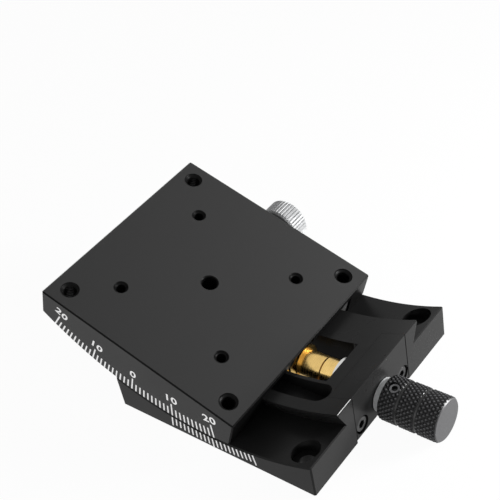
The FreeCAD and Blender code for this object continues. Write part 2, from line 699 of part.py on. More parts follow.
def make_platform():
    """The table, modelled level: arc underside, dovetail channel, gib slot and tapped holes."""
    body = new_body("platform")
    blank = rectangle(body, "XY_Plane", ("-table_length / 2", "-table_width / 2"),
                      ("table_length / 2", "table_width / 2"),
                      ("0", "0", "blank_foot"))
    pad(body, blank, "table_top - blank_foot")
    side = "table_width / 2 + overcut"
    below = [(side, "table_arc_radius"), (f"-({side})", "table_arc_radius"),
             (f"-({side})", "beyond"), (side, "beyond")]
    on_arc(body, below, groove, "cutter_angle")
    half_length, half_width = number("table_length / 2"), number("table_width / 2")

    def outer(points):
        on_end = all_near(points, lambda point: abs(point.x), half_length)
        on_side = all_near(points, lambda point: abs(point.y), half_width)
        return (on_end and on_side) or ((on_end or on_side) and level_edge(points))

    dress(body, "Chamfer", "edge_chamfer", outer)
    lip, wall = "lip_radius", "rail_width / 2 + flank_gap"
    neck = f"({wall} - flank_slope * (beyond - lip_radius))"
    channel = [("gib_inner - gib_fit / 2", "ceiling_radius"), ("gib_inner - gib_fit / 2", "beyond"),
               (f"-{neck}", "beyond"), (f"-({wall})", lip), (f"-({wall})", "ceiling_radius")]
    on_arc(body, channel, groove, "cutter_angle")
    slot = rectangle(body, "XY_Plane", ("-table_length / 2 - overcut", "gib_inner - gib_fit"),
                     ("table_length / 2 + overcut", "gib_outer + gib_fit"),
                     ("0", "0", "centre_height - gib_top_drop + gib_fit"))
    pocket(body, slot)
    # Seat of the toothed sector, closed at both ends
    half_seat = "sector_width / 2 + seat_gap"
    seat = [(half_seat, "sector_seat_radius"), (f"-({half_seat})", "sector_seat_radius"),
            (f"-({half_seat})", "ceiling_radius + overcut"), (half_seat, "ceiling_radius + overcut")]
    on_arc(body, seat, groove, "2 * (sector_half_angle + seat_spare_angle)")
    # Relief above the worm where the sector has ended, shallower at the very ends of the table
    open_side = "ceiling_radius + overcut"
    for radius, angle in (("end_relief_radius", "cutter_angle"),
                          ("relief_radius", "2 * relief_half_angle")):
        relief = [("relief_width / 2", radius), ("-relief_width / 2", radius),
                  ("-relief_width / 2", open_side), ("relief_width / 2", open_side)]
        on_arc(body, relief, groove, angle)
    # Tapped holes of the top face: corners go through, the others are blind
    top = ("0", "0", "table_top")
    outer_spots, inner_spots = square_spots("outer_hole_spacing"), square_spots("inner_hole_spacing")
    thread_end = ("0", "0", "centre_height - outer_thread_drop")
    pocket(body, circles(body, "XY_Plane", outer_spots, "outer_hole_diameter", top))
    pocket(body, circles(body, "XY_Plane", outer_spots, "outer_hole_relief", thread_end))
    pocket(body, circles(body, "XY_Plane", inner_spots, "inner_hole_diameter", top), "inner_hole_depth")
    pocket(body, circles(body, "XY_Plane", [("0", "0")], "centre_hole_diameter", top), "centre_hole_depth")
    top_z = number("table_top")
    for hole, spacing in (("outer_hole", number("outer_hole_spacing")),
                          ("inner_hole", number("inner_hole_spacing")), ("centre_hole", 0)):
        radius = number(f"{hole}_diameter / 2")

        def mouth(points):
            return all_near(points, lambda point: point.z, top_z) and all_near(
                points, lambda point: ((abs(point.x) - spacing / 2) ** 2
                                       + (abs(point.y) - spacing / 2) ** 2) ** 0.5, radius)

        dress(body, "Chamfer", f"({hole}_mouth - {hole}_diameter) / 2", mouth)
    # Holes through the back wall for the lock screw and the gib's set screws
    back = ("0", "0", "-table_width / 2")
    depth = "table_width / 2 - gib_outer - gib_fit / 2"
    lock = circles(body, "XZ_Plane", [("0", "lock_height")],
                   "lock_screw_diameter + 2 * lock_clearance", back)
    pocket(body, lock, depth, Reversed=True)
    spots = [("gib_screw_spacing / 2", "centre_height - gib_screw_drop"),
             ("-gib_screw_spacing / 2", "centre_height - gib_screw_drop")]
    pocket(body, circles(body, "XZ_Plane", spots, "gib_screw_diameter", back), depth, Reversed=True)
    # Hole for the stop pin, and for the sector's screws
    pin = circles(body, "XY_Plane", [("stop_pin_reach * sin(stop_pin_angle)", "-stop_groove_offset")],
                  "stop_pin_diameter", ("0", "0", "centre_height - stop_pin_root_drop"))
    pocket(body, pin)
    for side in ("", "-"):
        for end in ("", "-"):
            hole = body.newObject("PartDesign::SubtractiveCylinder", "SectorTap")
            bind(hole, Radius="sector_screw_diameter / 2",
                 Height="sector_seat_radius + overcut - sector_tap_end")
            place_on_sector(hole, side, end, "sector_seat_radius + overcut")
            checked(body, hole, False)
    tilt_with_table(body)
    return body


def place_on_sector(thing, side, end, radius):
    """Stand a piece made along its own Z on the sector, its Z pointing at the rotation centre."""
    angle = f"({end}sector_screw_angle)"
    place(thing, (0, 1, 0), f"-{angle}",
          move=(f"({radius}) * sin({angle})", f"{side}sector_screw_offset",
                f"centre_height - ({radius}) * cos({angle})"))


def make_sector():
    """Toothed arc: the gaps lie along the worm's lead, one gap faces the worm thread as shown."""
    body = new_body("worm_sector")
    half = "sector_width / 2"
    section = [(half, "sector_seat_radius"), (half, "sector_tip"), (f"-{half}", "sector_tip"),
               (f"-{half}", "sector_seat_radius")]
    blank = on_arc(body, section, revolve, "2 * sector_half_angle")
    first = "(round((sector_gaps - 1) / 2) * tooth_angle)"
    deep, shallow = "-(wheel_radius - dedendum)", "-(sector_tip + cut_spare)"
    corners = [("-gap_foot", deep), ("gap_foot", deep), ("gap_mouth", shallow), ("-gap_mouth", shallow)]
    gap = outline(body, "XZ_Plane", corners, ("0", "centre_height", "0"), (first, "lead_angle", "0"))
    cut = pocket(body, gap, "2 * sector_width", Midplane=True)
    pattern = body.newObject("PartDesign::PolarPattern", "Teeth")
    pattern.Originals = [cut]
    pattern.Axis = (blank.Profile[0], ["H_Axis"])
    bind(pattern, Angle="(sector_gaps - 1) * tooth_angle", Occurrences="sector_gaps")
    body.Tip = pattern
    checked(body, pattern, False)
    screws = []
    for side in ("", "-"):
        for end in ("", "-"):
            sink = body.newObject("PartDesign::SubtractiveCylinder", "ScrewHole")
            bind(sink, Radius="sector_screw_diameter / 2",
                 Height="sector_tip - sector_seat_radius + 2 * overcut")
            place_on_sector(sink, side, end, "sector_tip + overcut")
            checked(body, sink, False)
            head = body.newObject("PartDesign::SubtractiveCone", "Countersink")
            bind(head, Radius1="sector_screw_head / 2 + seat_gap", Radius2="sector_screw_diameter / 2",
                 Height="(sector_screw_head - sector_screw_diameter) / 2 + seat_gap")
            place_on_sector(head, side, end, "sector_tip - sector_screw_sink")
            checked(body, head, False)
            mouth = body.newObject("PartDesign::SubtractiveCylinder", "HeadSink")
            bind(mouth, Radius="sector_screw_head / 2 + seat_gap", Height="sector_screw_sink + overcut")
            place_on_sector(mouth, side, end, "sector_tip + overcut")
            checked(body, mouth, False)
            screws.append(make_sector_screw(side, end))
    tilt_with_table(body)
    for screw in screws:
        tilt_with_table(screw)
    return [body, group("sector_screws", screws)]


def make_sector_screw(side, end):
    screw = new_body("sector_screw")
    head = screw.newObject("PartDesign::AdditiveCone", "Head")
    bind(head, Radius1="sector_screw_head / 2", Radius2="sector_screw_diameter / 2 - thread_gap",
         Height="(sector_screw_head - sector_screw_diameter) / 2")
    place_on_sector(head, side, end, "sector_tip - sector_screw_sink")
    checked(screw, head, True)
    shank = screw.newObject("PartDesign::AdditiveCylinder", "Shank")
    bind(shank, Radius="sector_screw_diameter / 2 - thread_gap", Height="sector_screw_length")
    place_on_sector(shank, side, end, "sector_tip - sector_screw_sink")
    checked(screw, shank, True)
    return screw


def make_gib():
    """Loose jaw: an upright plate in the table's slot with a dovetail nose under the rail's flank."""
    body = new_body("clamp_gib")
    plate = rectangle(body, "XY_Plane", ("-gib_length / 2", "gib_inner"), ("gib_length / 2", "gib_outer"),
                      ("0", "0", "blank_foot"))
    pad(body, plate, "centre_height - gib_top_drop - blank_foot")
    below = [("gib_inner - overcut", "gib_foot_radius"), ("gib_outer + overcut", "gib_foot_radius"),
             ("gib_outer + overcut", "beyond"), ("gib_inner - overcut", "beyond")]
    on_arc(body, below, groove, "cutter_angle")
    wall = "rail_width / 2 + flank_gap"
    top = "rail_arc_radius + gib_nose_gap"
    foot = f"({wall} - flank_slope * (gib_foot_radius - lip_radius))"
    nose = [("gib_inner + gib_nose_root", top), (wall, top), (wall, "lip_radius"), (foot, "gib_foot_radius"),
            ("gib_inner + gib_nose_root", "gib_foot_radius")]
    on_arc(body, nose, revolve, "2 * asin(gib_length / 2 / gib_foot_radius) / 1deg")
    tilt_with_table(body)
    screws = []
    for name, side in (("left", "-"), ("right", "")):
        screw = grub_screw(f"gib_set_screw_{name}", "gib_screw_diameter - 2 * thread_gap",
                           "gib_screw_length", "gib_screw_flats")
        turn_into_table(screw, f"{side}gib_screw_spacing / 2", "gib_outer", "gib_screw_drop")
        screws.append(screw)
    return [body, group("gib_set_screws", screws)]


def turn_into_table(thing, along, across, drop):
    """Lay a piece made along its own Z along +Y at a spot of the tilted table."""
    thing.setExpression(
        "Placement",
        "create(<<placement>>; create(<<vector>>; "
        + expand(f"({along}) * cos(shown_tilt) - ({drop}) * sin(shown_tilt)") + "; "
        + expand(across) + "; "
        + expand(f"centre_height - ({along}) * sin(shown_tilt) - ({drop}) * cos(shown_tilt)")
        + "); create(<<rotation>>; create(<<vector>>; 1; 0; 0); -90))")


def make_stop_pin():
    body = new_body("stop_pin")
    rod = body.newObject("PartDesign::AdditiveCylinder", "Rod")
    bind(rod, Radius="stop_pin_diameter / 2", Height="stop_pin_reach - stop_pin_root_drop - pin_sink")
    place(rod, (0, 0, 1), "0", move=("stop_pin_reach * sin(stop_pin_angle)", "-stop_groove_offset",
                                     "centre_height - stop_pin_reach"))
    checked(body, rod, True)
    tilt_with_table(body)
    return body


def make_lock():
    """Thumb screw with a fluted head, and the pad between its tip and the gib."""
    pad_body = new_body("lock_pad")
    disc = pad_body.newObject("PartDesign::AdditiveCylinder", "Disc")
    bind(disc, Radius="lock_screw_diameter / 2 - lock_clearance", Height="lock_pad_length")
    checked(pad_body, disc, True)
    turn_into_table(pad_body, "0", "gib_outer + lock_pad_gap", "lock_drop")
    screw = new_body("lock_screw")
    shank, rim, neck = "lock_screw_diameter / 2", "lock_head_diameter / 2", "lock_neck_diameter / 2"
    start = "lock_head_foot - lock_tip"
    end = "lock_head_tip - lock_tip"
    corners = [("0", "0"), (f"{shank} - tip_break", "0"), (shank, "tip_break"), (shank, start),
               (neck, start), (neck, f"{start} + lock_neck_length"),
               (f"{rim} - lock_head_chamfer", f"{start} + lock_neck_length"),
               (rim, f"{start} + lock_neck_length + lock_head_chamfer"),
               (rim, f"{end} - lock_head_chamfer"), (f"{rim} - lock_head_chamfer", end), ("0", end)]
    profile = outline(screw, "XZ_Plane", corners)
    revolve(screw, profile, "V_Axis")
    half_angle = "180 / lock_flutes"
    across = f"({rim} + lock_flute_spare) * tan({half_angle}) * lock_flute_share"
    flute = outline(screw, "XY_Plane",
                    [(f"-{across}", f"{rim} + lock_flute_spare"), (across, f"{rim} + lock_flute_spare"),
                     ("0", f"{rim} - lock_flute_depth")], ("0", "0", end))
    cut = pocket(screw, flute, "lock_head_tip - lock_head_foot - lock_neck_length")
    pattern = screw.newObject("PartDesign::PolarPattern", "Flutes")
    pattern.Originals = [cut]
    pattern.Axis = (flute, ["N_Axis"])
    pattern.Angle = 360
    bind(pattern, Occurrences="lock_flutes")
    screw.Tip = pattern
    checked(screw, pattern, False)
    turn_into_table(screw, "0", "lock_tip + thread_gap", "lock_drop")
    return [pad_body, screw]


def write_parts(pieces):
    """Write one file for each piece, once every object of the document has come out well."""
    doc.recompute()
    for thing in doc.Objects:
        if "Invalid" in thing.State or "Error" in thing.State:
            raise RuntimeError(f"{thing.Label} failed: {thing.State}")
    for piece in pieces:
        if piece.Shape.isNull() or not piece.Shape.isValid() or not piece.Shape.Solids:
            raise RuntimeError(f"{piece.Label} has no valid solid")
    os.makedirs("parts", exist_ok=True)
    for piece in pieces:
        piece.Shape.exportStep(f"parts/{piece.Label}.step")
        print(f"{piece.Label}: {len(piece.Shape.Solids)} solid(s), {piece.Shape.Volume:.1f} mm3")


fill_sheet()
pieces = [make_base(), make_bearing_block(), make_block_screws()]
pieces += make_bushes()
pieces += [make_shaft(), make_worm()]
pieces += make_shaft_fittings()
pieces += make_knob()
pieces += [make_platform()]
pieces += make_sector()
pieces += make_gib()
pieces += [make_stop_pin()]
pieces += make_lock()
write_parts(pieces)
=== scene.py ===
"""Goniometer stage: finishes, scale marks, knurls, threads and a plain studio for the solids."""

import math

import bmesh
import bpy
from bpy.props import FloatProperty, FloatVectorProperty, IntProperty, PointerProperty
from mathutils import Euler, Matrix, Vector


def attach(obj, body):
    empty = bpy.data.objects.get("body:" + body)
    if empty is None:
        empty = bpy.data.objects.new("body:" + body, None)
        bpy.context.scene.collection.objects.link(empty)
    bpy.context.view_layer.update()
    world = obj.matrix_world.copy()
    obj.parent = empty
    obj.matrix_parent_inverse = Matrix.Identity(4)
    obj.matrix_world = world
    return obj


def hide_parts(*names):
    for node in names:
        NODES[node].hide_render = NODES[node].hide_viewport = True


bl_info = {
    "name": "Goniometer Stage",
    "version": (1, 0, 0),
    "blender": (4, 5, 0),
    "location": "View3D > Sidebar > Goniometer",
    "description": "Finishes, scale marks, knurls and studio of a worm-driven tilt stage",
    "category": "Object",
}

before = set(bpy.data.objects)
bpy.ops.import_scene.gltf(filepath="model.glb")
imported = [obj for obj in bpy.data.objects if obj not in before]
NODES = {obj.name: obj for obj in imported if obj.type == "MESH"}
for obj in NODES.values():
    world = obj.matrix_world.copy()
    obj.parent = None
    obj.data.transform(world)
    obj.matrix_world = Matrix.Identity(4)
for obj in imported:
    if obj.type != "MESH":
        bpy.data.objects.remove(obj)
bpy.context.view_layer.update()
MM = 0.001

# Where things are, in millimetres and degrees, in the frame of the solid parts
CENTRE_HEIGHT = 79.0
SHOWN_TILT = 19.4
FRONT_FACE = -30.0
EDGE_CHAMFER = 0.35
TABLE_ARC = 75.0
TABLE_DROP = 60.5
TABLE_HALF = 30.0
LAND_ARC = 75.2
BASE_HALF = 30.0
RAIL_HALF = 17.5
RAIL_END_HEIGHT = 15.75
WINDOW = (38.4, 14.0)
SHAFT_HEIGHT = 6.0
# Half spacing, mouth radius and thread pitch of each square pattern of tapped holes
TABLE_HOLES = ((25.0, 2.42, 0.7), (16.0, 1.9, 0.5), (0.0, 2.37, 0.8))

# Where the finish of the base and of the table changes, and where painted shade and a painted
# highlight on them begin
SKIN = 0.05
HIGHLIGHT_EDGE = (-RAIL_HALF, -12.0)
HIGHLIGHT_INSET = 0.02
EDGE_LINE = 0.34

# Scale and vernier
SCALE_HALF = 20
SCALE_LONG = 10
NUMBER_ARC = 69.3
NUMBER_STRETCH = 1.18
NUMBER_WEIGHT = 0.07
NUMBER_SPACING = 1.1
VERNIER_HALF = 10
VERNIER_TICK = 2.5
VERNIER_LONG = 3.3
MARK_HEIGHT = 0.01

# Knob, the core under its knurl, and its set screw
KNOB_RADIUS = 5.8
KNOB_BORE = 2.0
KNOB_ENDS = (31.9, 47.6)
KNOB_GROOVES = (36.7, 41.8)
KNOB_GROOVE_HALF = 0.25
KNOB_CHAMFER = 0.3
KNOB_FACE = 0.2
KNOB_FACE_EDGE = 0.5
# Depth of the painted highlight on the tops of the diamonds
KNOB_TIP_HIGHLIGHT = 0.14
CORE_DEPTH = 0.35
CORE_GAP = 0.05
CORE_INSET = 0.02
CORE_SLOPE = 0.1
WAIST_INSET = 0.4
SCREW_PLACE = 34.4
SCREW_TURN = 9.5
SCREW_RIM = 0.78
SEAT_RADIUS = 1.5
SEAT_SHARE = 0.76

# Lock screw: the place of its axis, its tip, then foot, start and end of the head
LOCK_SPOT = (-22.4873, 15.1438)
LOCK_TIP = 24.22
LOCK_TIP_BREAK = 0.4
LOCK_HEAD = (31.0, 31.7, 37.5)
# Radii of its shank, its neck and its head
LOCK_RADII = (2.0, 4.0, 6.1)
LOCK_CHAMFER = 0.5
LOCK_CORE_DEPTH = 0.4
LOCK_CORE_EDGE = (0.2, 0.15)

# Steps of the turned and knurled shapes
LATHE_STEPS = 96
KNURL_AROUND = 336
KNOB_ALONG = 30
LOCK_ALONG = 24
KNURL_SHARPNESS = 1.35
MERGE = 1e-6

# Scales of the noise in the finishes
FINE_GRAIN = 9000.0
METAL_GRAIN = 6000.0
CLOUDS = 90.0

# Studio, in millimetres and degrees: place, target and diameter of each lamp
LAMPS = {"key": ((190.0, 145.0, 62.0), (28.0, 12.0, 8.0), 90.0),
         "glint": ((240.0, 172.0, 160.0), (28.0, -10.0, 10.0), 45.0),
         "fill": ((-60.0, -330.0, 110.0), (0.0, 0.0, 10.0), 200.0)}
CAMERA_SPOT = (143.2237, -151.7960, 209.8175)
CAMERA_TURN = (50.45794, 9.04281, 36.67159)
CAMERA_RANGE = (0.01, 20.0)
WHITE = (1.0, 1.0, 1.0, 1.0)
WORLD_LIGHT = 0.3
FLOOR_GLOW = 0.96
FLOOR_HALF = 3000.0


# Node trees


class Graph:
    """Adds nodes to a tree together with their settings and inputs."""

    def __init__(self, tree):
        self.tree = tree

    def add(self, kind, inputs=None, **settings):
        node = self.tree.nodes.new(kind)
        for name, setting in settings.items():
            setattr(node, name, setting)
        for key, value in (inputs or {}).items():
            self.feed(value, node.inputs[key])
        return node

    def feed(self, value, socket):
        if isinstance(value, bpy.types.NodeSocket):
            self.tree.links.new(value, socket)
        else:
            socket.default_value = value

    def math(self, operation, *values, clamp=False):
        node = self.add("ShaderNodeMath", dict(enumerate(values)), operation=operation)
        node.use_clamp = clamp
        return node.outputs[0]

    def vector(self, x=0.0, y=0.0, z=0.0):
        return self.add("ShaderNodeCombineXYZ", {"X": x, "Y": y, "Z": z}).outputs[0]

    def parts(self, vector):
        return self.add("ShaderNodeSeparateXYZ", {"Vector": vector}).outputs

    def length(self, vector):
        return self.add("ShaderNodeVectorMath", {0: vector}, operation="LENGTH").outputs["Value"]


class Shape(Graph):
    """A Geometry Nodes tree with named inputs, whose result becomes a plain mesh."""

    def __init__(self, name, sizes):
        super().__init__(bpy.data.node_groups.new(name, "GeometryNodeTree"))
        for size, value in sizes.items():
            kind = "NodeSocketInt" if isinstance(value, int) else "NodeSocketFloat"
            socket = self.tree.interface.new_socket(size, in_out="INPUT", socket_type=kind)
            socket.default_value = value
        self.tree.interface.new_socket("Finish", in_out="INPUT", socket_type="NodeSocketMaterial")
        self.tree.interface.new_socket(
            "Geometry", in_out="OUTPUT", socket_type="NodeSocketGeometry")
        self.inputs = self.add("NodeGroupInput").outputs

    def close(self, geometry):
        """End the tree in Realize Instances and Set Material."""
        real = self.add("GeometryNodeRealizeInstances", {"Geometry": geometry}).outputs[0]
        painted = self.add("GeometryNodeSetMaterial",
                           {"Geometry": real, "Material": self.inputs["Finish"]}).outputs[0]
        self.add("NodeGroupOutput", {"Geometry": painted})
        return self

    def mesh(self, name, sizes, finish):
        """The tree's result for these sizes, as an object with a plain mesh."""
        thing = bpy.data.objects.new(name, bpy.data.meshes.new(name))
        bpy.context.scene.collection.objects.link(thing)
        modifier = thing.modifiers.new("Shape", "NODES")
        modifier.node_group = self.tree
        for item in self.tree.interface.items_tree:
            if item.item_type == "SOCKET" and item.in_out == "INPUT":
                modifier[item.identifier] = finish if item.name == "Finish" else sizes.get(
                    item.name, item.default_value)
        ready = thing.evaluated_get(bpy.context.evaluated_depsgraph_get())
        plain = bpy.data.meshes.new_from_object(ready)
        thing.modifiers.remove(modifier)
        thing.data = plain
        plain.name = name
        if not plain.polygons:
            raise RuntimeError(f"{name} came out with no faces")
        return thing


# Materials


class Finish(Graph):
    """A procedural material around one Principled shader."""

    def __init__(self, name, colour, roughness, metallic=0.0, specular=0.5):
        self.material = bpy.data.materials.new(name)
        self.material.use_nodes = True
        super().__init__(self.material.node_tree)
        self.shader = self.tree.nodes["Principled BSDF"]
        self.shader.inputs["Base Color"].default_value = (*colour, 1.0)
        self.shader.inputs["Roughness"].default_value = roughness
        self.shader.inputs["Metallic"].default_value = metallic
        self.shader.inputs["Specular IOR Level"].default_value = specular
        self.colour, self.roughness, self.specular = (*colour, 1.0), roughness, specular
        self.place = self.add("ShaderNodeTexCoord").outputs["Object"]

    def noise(self, scale, detail=3.0, place=None):
        return self.add("ShaderNodeTexNoise", {"Vector": place or self.place, "Scale": scale,
                                               "Detail": detail}).outputs["Fac"]

    def spread(self, factor, low, high):
        return self.add("ShaderNodeMapRange", {"Value": factor, "From Min": 0.3, "From Max": 0.7,
                                               "To Min": low, "To Max": high}).outputs[0]

    def vary_colour(self, factor, other, start=None):
        """Move the base colour, or what start gives, towards a lighter or darker one."""
        mix = self.add("ShaderNodeMix", data_type="RGBA")
        self.feed(factor, mix.inputs["Factor"])
        self.feed(start or self.colour, mix.inputs["A"])
        mix.inputs["B"].default_value = (*other, 1.0)
        self.tree.links.new(mix.outputs["Result"], self.shader.inputs["Base Color"])
        self.mixed = mix.outputs["Result"]
        return self

    def cloud(self, scale, share, most=0.8):
        """Vary the colour in soft clouds towards a share of itself, and give the clouds."""
        clouds = self.noise(scale)
        self.vary_colour(self.spread(clouds, 0.0, most),
                         [channel * share for channel in self.colour[:3]])
        return clouds

    def vary_roughness(self, factor, amount):
        rough = self.spread(factor, self.roughness - amount, self.roughness + amount)
        self.tree.links.new(rough, self.shader.inputs["Roughness"])
        return self

    def dull(self, factor, amount):
        """Take an amount off the gloss where the factor is one."""
        gloss = self.math("SUBTRACT", self.specular, self.math("MULTIPLY", factor, amount))
        self.tree.links.new(gloss, self.shader.inputs["Specular IOR Level"])
        return self

    def bump(self, height, distance, strength):
        node = self.add("ShaderNodeBump", {"Height": height, "Distance": distance,
                                           "Strength": strength})
        self.tree.links.new(node.outputs[0], self.shader.inputs["Normal"])
        return self

    def around_shaft(self):
        """Coordinates that run along the worm shaft and out from it, as marks of turning do."""
        spot = self.parts(self.place)
        high = self.math("SUBTRACT", spot["Z"], SHAFT_HEIGHT * MM)
        return self.vector(spot["X"], self.length(self.vector(0.0, spot["Y"], high)), 0.0)


def anodised(name, colour):
    """Black anodised aluminium: a fine blasted grain with faint clouds."""
    finish = Finish(name, colour, 0.38, specular=0.1)
    finish.vary_roughness(finish.cloud(CLOUDS, 1.35, 1.0), 0.04)
    return finish.bump(finish.noise(FINE_GRAIN, 2.0), 0.00001, 0.35).material


def base_finish(name, colour):
    """Anodised finish of the base and its bearing block, with painted shade down in the window.

    The front part of the chamfer at the rail's end carries a painted highlight."""
    finish = Finish(name, colour, 0.3, specular=0.08)
    spot = finish.parts(finish.place)
    # Painted shade: the base is painted nearly black down in the window round the worm
    window = finish.math("MULTIPLY", *[
        finish.math("LESS_THAN", finish.math("ABSOLUTE", spot[axis]), (size / 2 + SKIN) * MM)
        for axis, size in zip("XY", WINDOW)])
    finish.vary_colour(finish.math("MULTIPLY", window, 0.85), (0.0005, 0.0005, 0.0005))
    # Painted highlight: a light grey line on the front part of the chamfer at the rail's end
    chamfer = EDGE_CHAMFER - HIGHLIGHT_INSET
    limits = (("GREATER_THAN", spot["X"], BASE_HALF - chamfer),
              ("LESS_THAN", spot["X"], BASE_HALF - EDGE_CHAMFER / 2),
              ("GREATER_THAN", spot["Z"], RAIL_END_HEIGHT - chamfer),
              ("LESS_THAN", spot["Y"], HIGHLIGHT_EDGE[1]), ("GREATER_THAN", spot["Y"], HIGHLIGHT_EDGE[0]))
    chamfer_highlight = 1.0
    for operation, value, limit in limits:
        chamfer_highlight = finish.math("MULTIPLY", chamfer_highlight, finish.math(operation, value, limit * MM))
    finish.vary_colour(chamfer_highlight, (0.5, 0.5, 0.5), finish.mixed)
    finish.vary_roughness(finish.noise(CLOUDS), 0.04)
    # Painted shade: the window also loses some of its gloss
    finish.dull(window, 0.06)
    return finish.bump(finish.noise(FINE_GRAIN, 2.0), 0.00001, 0.35).material


def table_finish(name, colour, holes):
    """Anodised finish of the table, with painted shade on its far end and along the top edge of its
    sides.

    Its tapped holes are threaded, with painted shade inside their mouths. holes lists (half
    spacing, mouth radius, thread pitch) in millimetres for each square pattern."""
    finish = Finish(name, colour, 0.38, specular=0.1)
    tilt = math.radians(SHOWN_TILT)
    spot = finish.parts(finish.place)
    down = finish.math("SUBTRACT", CENTRE_HEIGHT * MM, spot["Z"])
    along = finish.math("ADD", finish.math("MULTIPLY", spot["X"], math.cos(tilt)),
                        finish.math("MULTIPLY", down, math.sin(tilt)))
    drop = finish.math("SUBTRACT", finish.math("MULTIPLY", down, math.cos(tilt)),
                       finish.math("MULTIPLY", spot["X"], math.sin(tilt)))
    dark, threads = 0.0, 0.0
    # Painted shade inside the mouth of each hole; its threads are only a bump
    for half, radius, pitch in holes:
        sides = [finish.math("SUBTRACT", finish.math("ABSOLUTE", side), half * MM)
                 for side in (along, spot["Y"])]
        within = finish.math("LESS_THAN", finish.length(finish.vector(*sides)), radius * MM)
        wave = finish.math("SINE", finish.math("MULTIPLY", drop, 2 * math.pi / (pitch * MM)))
        dark = finish.math("MAXIMUM", dark, within)
        threads = finish.math("ADD", threads, finish.math("MULTIPLY", wave, within))
    at_side = finish.math("GREATER_THAN", finish.math("ABSOLUTE", spot["Y"]),
                          -(FRONT_FACE + EDGE_LINE) * MM)
    at_top = finish.math("LESS_THAN", drop, (TABLE_DROP + EDGE_LINE) * MM)
    at_end = finish.math("GREATER_THAN", along, (TABLE_HALF - EDGE_CHAMFER) * MM)
    for place in (finish.math("MULTIPLY", at_side, at_top), at_end):
        dark = finish.math("MAXIMUM", dark, place)
    # Painted shade: the holes, the far end face and the top edge of the sides are painted nearly
    # black and lose some gloss
    finish.vary_colour(finish.math("MULTIPLY", dark, 0.92), (0.001, 0.001, 0.001))
    finish.vary_roughness(finish.noise(CLOUDS), 0.03)
    finish.dull(dark, 0.05)
    grain = finish.math("MULTIPLY", finish.noise(FINE_GRAIN, 2.0), 0.05)
    return finish.bump(finish.math("ADD", grain, threads), 0.00006, 0.7).material


def turned_metal(name, colour, roughness, depth=0.000004, metallic=1.0):
    """Bright metal with the fine rings that a lathe leaves."""
    finish = Finish(name, colour, roughness, metallic=metallic)
    finish.cloud(300.0, 0.72)
    rings = finish.noise(FINE_GRAIN, place=finish.around_shaft())
    finish.vary_roughness(rings, 0.08)
    return finish.bump(rings, depth, 0.5).material


def milled_metal(name, colour, roughness, metallic=1.0):
    """Metal with a fine even grain."""
    finish = Finish(name, colour, roughness, metallic=metallic)
    finish.vary_roughness(finish.cloud(400.0, 0.7), 0.07)
    return finish.bump(finish.noise(METAL_GRAIN), 0.000004, 0.4).material


def printed(name, colour):
    """Paint let into engraved marks, a little rubbed, with a painted glow."""
    finish = Finish(name, colour, 0.55)
    # Painted glow: the paint gives off a weak light of its own colour
    finish.shader.inputs["Emission Color"].default_value = (*colour, 1.0)
    finish.shader.inputs["Emission Strength"].default_value = 0.3
    finish.cloud(2500.0, 0.85)
    return finish.material


def paint_node(node, material):
    data = NODES[node].data
    data.materials.clear()
    data.materials.append(material)


# Meshes


def plain_object(name, mesh):
    thing = bpy.data.objects.new(name, mesh)
    bpy.context.scene.collection.objects.link(thing)
    return thing


def mesh_object(name, points, faces, material):
    """An object from points in millimetres."""
    mesh = bpy.data.meshes.new(name)
    mesh.from_pydata([Vector(point) * MM for point in points], [], faces)
    mesh.materials.append(material)
    mesh.validate()
    return plain_object(name, mesh)


def face_outwards(thing):
    work = bmesh.new()
    work.from_mesh(thing.data)
    bmesh.ops.remove_doubles(work, verts=work.verts, dist=1e-7)
    bmesh.ops.recalc_face_normals(work, faces=work.faces)
    work.to_mesh(thing.data)
    work.free()
    return thing


def lathe(name, profile, material, place):
    """Turn a profile of (along, radius) corners about the local X of a place."""
    points, faces = [], []
    count = len(profile)
    for step in range(LATHE_STEPS):
        angle = 2 * math.pi * step / LATHE_STEPS
        for along, radius in profile:
            spot = Vector((along, radius * math.cos(angle), radius * math.sin(angle)))
            points.append(place @ spot)
        after = (step + 1) % LATHE_STEPS
        for corner in range(count - 1):
            faces.append((step * count + corner, step * count + corner + 1,
                          after * count + corner + 1, after * count + corner))
    return face_outwards(mesh_object(name, points, faces, material))


def shaft_place():
    """The worm shaft's axis: local X runs out to the knob."""
    return Matrix.Translation((0.0, 0.0, SHAFT_HEIGHT))


def lock_place():
    """The lock screw's axis: local X runs out of the table's back face."""
    return (Matrix.Translation((LOCK_SPOT[0], 0.0, LOCK_SPOT[1]))
            @ Matrix.Rotation(math.radians(90.0), 4, "Z"))


# Settings that a user may change

LENGTH = {"unit": "LENGTH", "subtype": "DISTANCE"}
COLOUR = {"size": 3, "subtype": "COLOR", "min": 0.0, "max": 1.0}
POWER = {"unit": "POWER", "min": 0.0}


class ScaleSettings(bpy.types.PropertyGroup):
    tick_length: FloatProperty(
        name="Tick Length", description="Length of a one-degree tick", default=2.84 * MM, **LENGTH)
    long_tick: FloatProperty(
        name="Long Tick Length", description="Length of a ten-degree tick", default=4.5 * MM,
        **LENGTH)
    tick_width: FloatProperty(
        name="Tick Width", description="Width of the engraved line", default=0.42 * MM, **LENGTH)
    number_height: FloatProperty(
        name="Number Size", description="Type size of the numbers", default=3.25 * MM, **LENGTH)
    vernier_step: FloatProperty(
        name="Vernier Step", description="Angle between two ticks of the vernier",
        default=math.radians(0.95), unit="ROTATION", subtype="ANGLE")
    colour: FloatVectorProperty(
        name="Mark Colour", description="Paint in the engraved marks", default=(0.92, 0.92, 0.92),
        **COLOUR)


